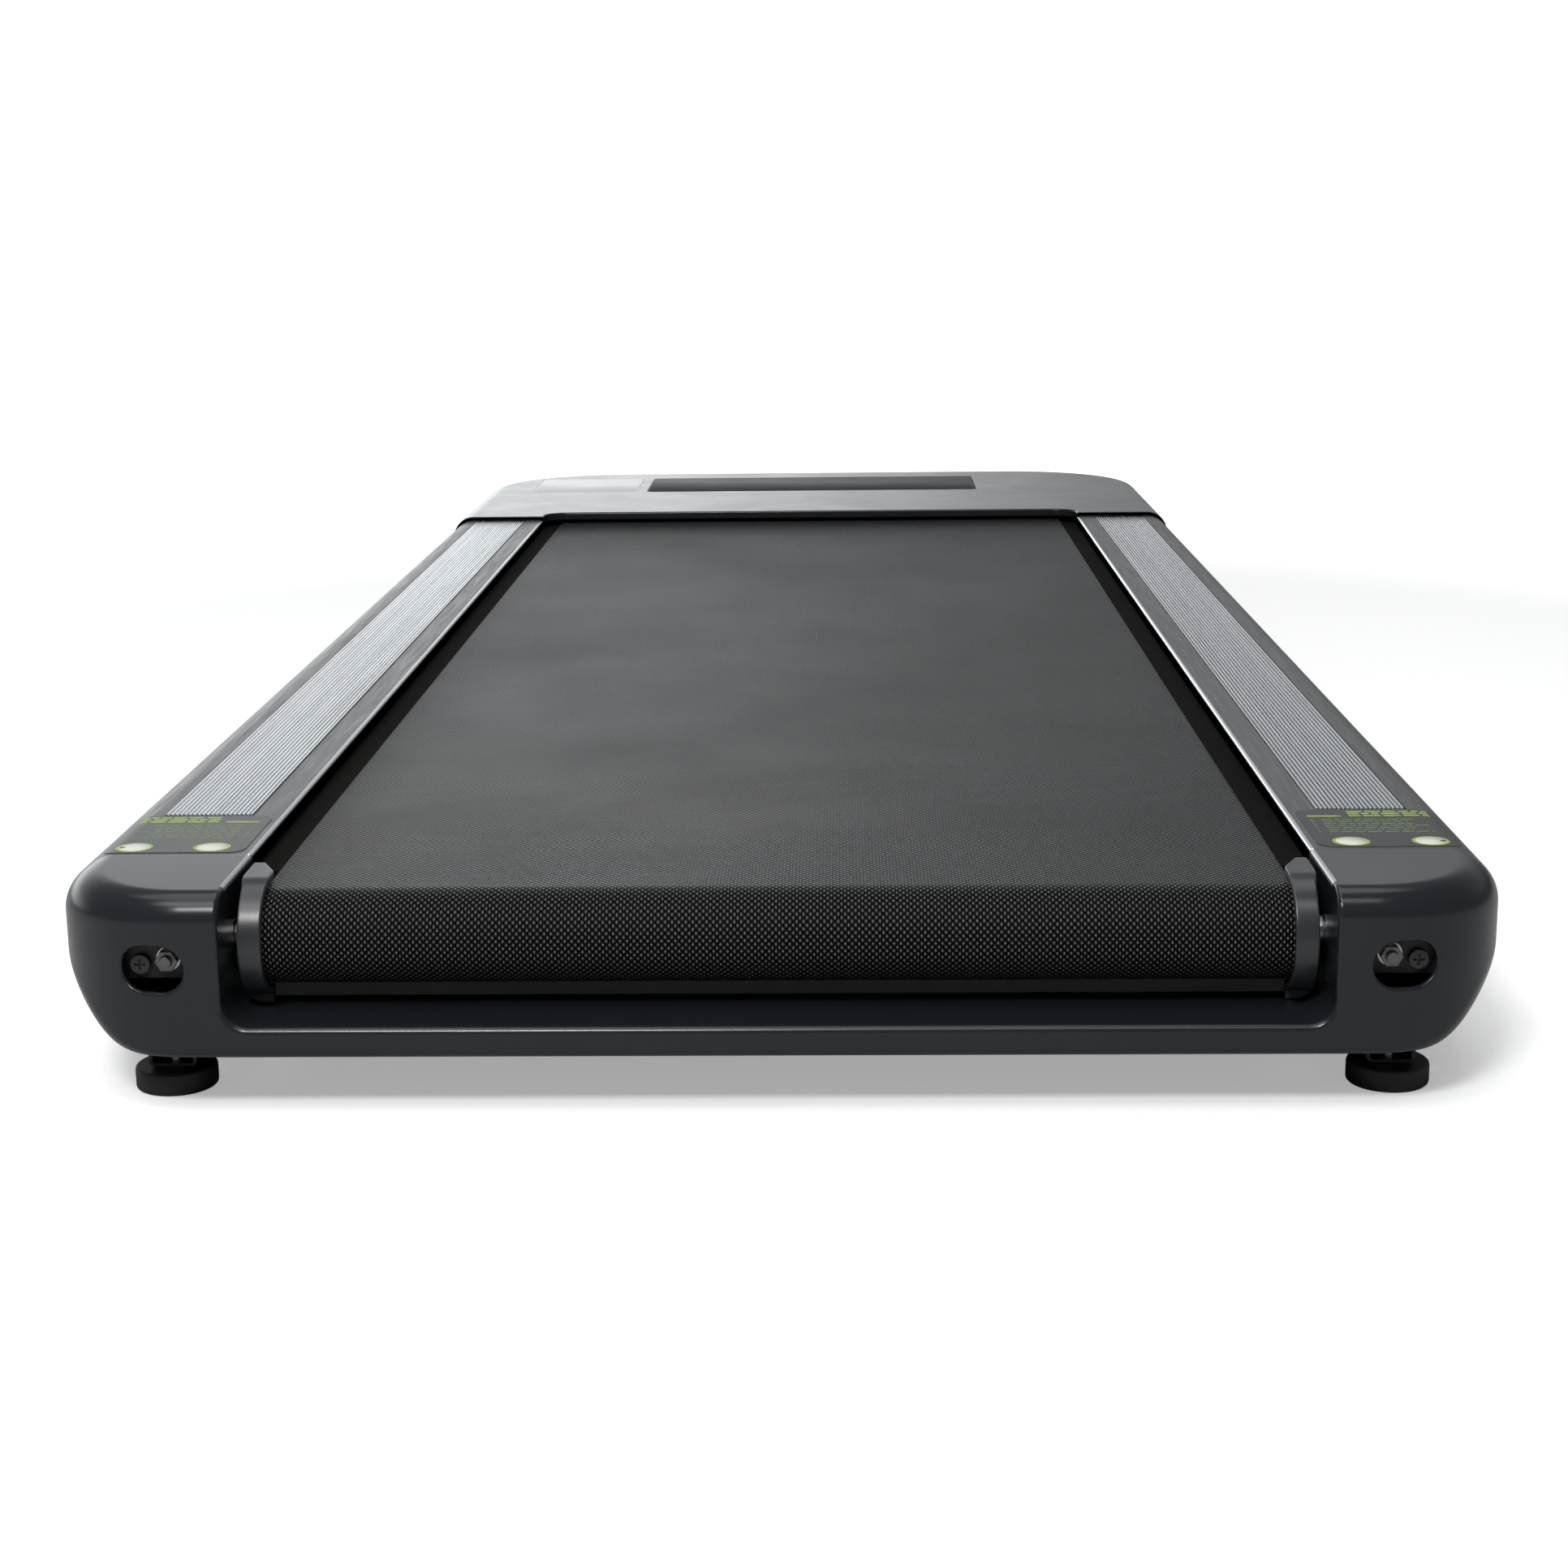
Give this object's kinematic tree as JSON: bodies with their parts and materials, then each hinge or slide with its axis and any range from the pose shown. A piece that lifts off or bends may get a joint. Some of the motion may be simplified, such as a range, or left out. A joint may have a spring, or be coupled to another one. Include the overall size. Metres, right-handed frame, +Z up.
{
  "type": "treadmill",
  "caption": "Slim under-desk treadmill with a flat belt deck, low side rails, a front motor hood and a U-shaped rear cover on rubber feet.",
  "frame": {"origin": "on the floor under the middle of the overall footprint", "axes": "+Y towards the motor hood (the walking direction), +X to the right of someone facing the hood, +Z up"},
  "size_m": [0.596, 1.515, 0.095],
  "materials": {
    "frame_paint": "satin black powder coat",
    "zinc_steel": "bright zinc plate",
    "screw_steel": "zinc plate",
    "black_screw": "black oxide",
    "deck_wood": "dark phenolic film on board",
    "foot_rubber": "matt",
    "belt_rubber": "fine diamond emboss, slight gloss",
    "roller_steel": "turned",
    "bearing_steel": "ground",
    "cover_plastic": "charcoal metallic semi-gloss",
    "guard_plastic": "semi-gloss",
    "rail_aluminium": "gunmetal anodised",
    "tread_aluminium": "bright ribbed",
    "label_film": "dark satin film",
    "pulley_aluminium": "machined",
    "drive_belt_rubber": "matt",
    "motor_paint": "satin black",
    "magnet_iron": "plain",
    "rotor_iron": "varnished laminations",
    "black_plastic": "fine grain",
    "display_black": "gloss tinted window",
    "board_green": "solder mask",
    "info_film": "pale film",
    "switch_red": "gloss",
    "wheel_plastic": "moulded"
  },
  "bodies": {
    "chassis": {"frame_tube_left": "frame_paint", "frame_tube_right": "frame_paint", "rear_cross_member": "frame_paint", "middle_cross_members": "frame_paint", "front_cross_member": "frame_paint", "motor_tray": "zinc_steel", "deck_board": "deck_wood", "deck_cushions": "foot_rubber", "deck_screws": "screw_steel", "running_belt": "belt_rubber", "rear_roller_axle": "roller_steel", "axle_block_left": "zinc_steel", "axle_block_right": "zinc_steel", "tension_bracket_left": "zinc_steel", "tension_bracket_right": "zinc_steel", "tension_washers": "zinc_steel", "bracket_screws": "black_screw", "rear_cover": "cover_plastic", "roller_guard_left": "guard_plastic", "roller_guard_right": "guard_plastic", "side_rail_left": "rail_aluminium", "side_rail_right": "rail_aluminium", "tread_strip_left": "tread_aluminium", "tread_strip_right": "tread_aluminium", "rail_label_left": "label_film", "rail_label_right": "label_film", "front_roller_axle": "roller_steel", "front_axle_mounts": "zinc_steel", "drive_belt": "drive_belt_rubber", "motor_case": "motor_paint", "motor_magnets": "magnet_iron", "motor_cradle": "zinc_steel", "front_hood": "cover_plastic", "belly_pan": "black_plastic", "belly_pan_screws": "screw_steel", "display_window": "display_black", "display_board": "board_green", "info_plate": "info_film", "controller_board": "board_green", "power_inlet": "black_plastic", "switch_frame": "black_plastic", "wheel_brackets": "zinc_steel", "wheel_axles": "screw_steel", "feet": "foot_rubber", "foot_screws": "screw_steel"},
    "front_roller_assembly": {"front_roller": "roller_steel", "front_roller_bearings": "bearing_steel", "drive_pulley": "pulley_aluminium"},
    "rear_roller_assembly": {"rear_roller": "roller_steel", "rear_roller_bearings": "bearing_steel"},
    "motor_armature": {"motor_rotor": "rotor_iron", "motor_shaft": "roller_steel", "motor_pulley": "pulley_aluminium", "motor_fan": "black_plastic"},
    "transport_wheel_left": {"wheel_left": "wheel_plastic"},
    "transport_wheel_right": {"wheel_right": "wheel_plastic"},
    "bolt_left": {"tension_bolt_left": "zinc_steel"},
    "bolt_right": {"tension_bolt_right": "zinc_steel"},
    "rocker": {"switch_rocker": "switch_red"},
    "reset_plunger": {"reset_button": "black_plastic"}
  },
  "joints": [
    {"name": "front_roller_spin", "type": "hinge", "parent": "chassis", "child": "front_roller_assembly", "pos_m": [0, 0.48, 0.066], "axis": [1, 0, 0], "continuous": true},
    {"name": "rear_roller_spin", "type": "hinge", "parent": "chassis", "child": "rear_roller_assembly", "pos_m": [0, -0.7205, 0.066], "axis": [1, 0, 0], "continuous": true},
    {"name": "motor_spin", "type": "hinge", "parent": "chassis", "child": "motor_armature", "pos_m": [0.05, 0.6, 0.0525], "axis": [1, 0, 0], "continuous": true},
    {"name": "wheel_left_spin", "type": "hinge", "parent": "chassis", "child": "transport_wheel_left", "pos_m": [-0.2, 0.7165, 0.03], "axis": [1, 0, 0], "continuous": true},
    {"name": "wheel_right_spin", "type": "hinge", "parent": "chassis", "child": "transport_wheel_right", "pos_m": [0.2, 0.7165, 0.03], "axis": [1, 0, 0], "continuous": true},
    {"name": "tension_bolt_left_turn", "type": "hinge", "parent": "chassis", "child": "bolt_left", "pos_m": [-0.2457, -0.744, 0.063], "axis": [0, 1, 0], "range_deg": [-360, 360]},
    {"name": "tension_bolt_right_turn", "type": "hinge", "parent": "chassis", "child": "bolt_right", "pos_m": [0.2457, -0.744, 0.063], "axis": [0, 1, 0], "range_deg": [-360, 360]},
    {"name": "power_switch_rock", "type": "hinge", "parent": "chassis", "child": "rocker", "pos_m": [-0.098, 0.751, 0.0595], "axis": [0, 0, -1], "range_deg": [0, 14]},
    {"name": "reset_button_press", "type": "slide", "parent": "chassis", "child": "reset_plunger", "axis": [0, -1, 0], "range_m": [0, 0.003], "stiffness_N_per_m": 300}
  ],
  "couplings": [
    {"joint": "rear_roller_spin", "follows": "front_roller_spin", "ratio": 1},
    {"joint": "motor_spin", "follows": "front_roller_spin", "ratio": 2}
  ]
}
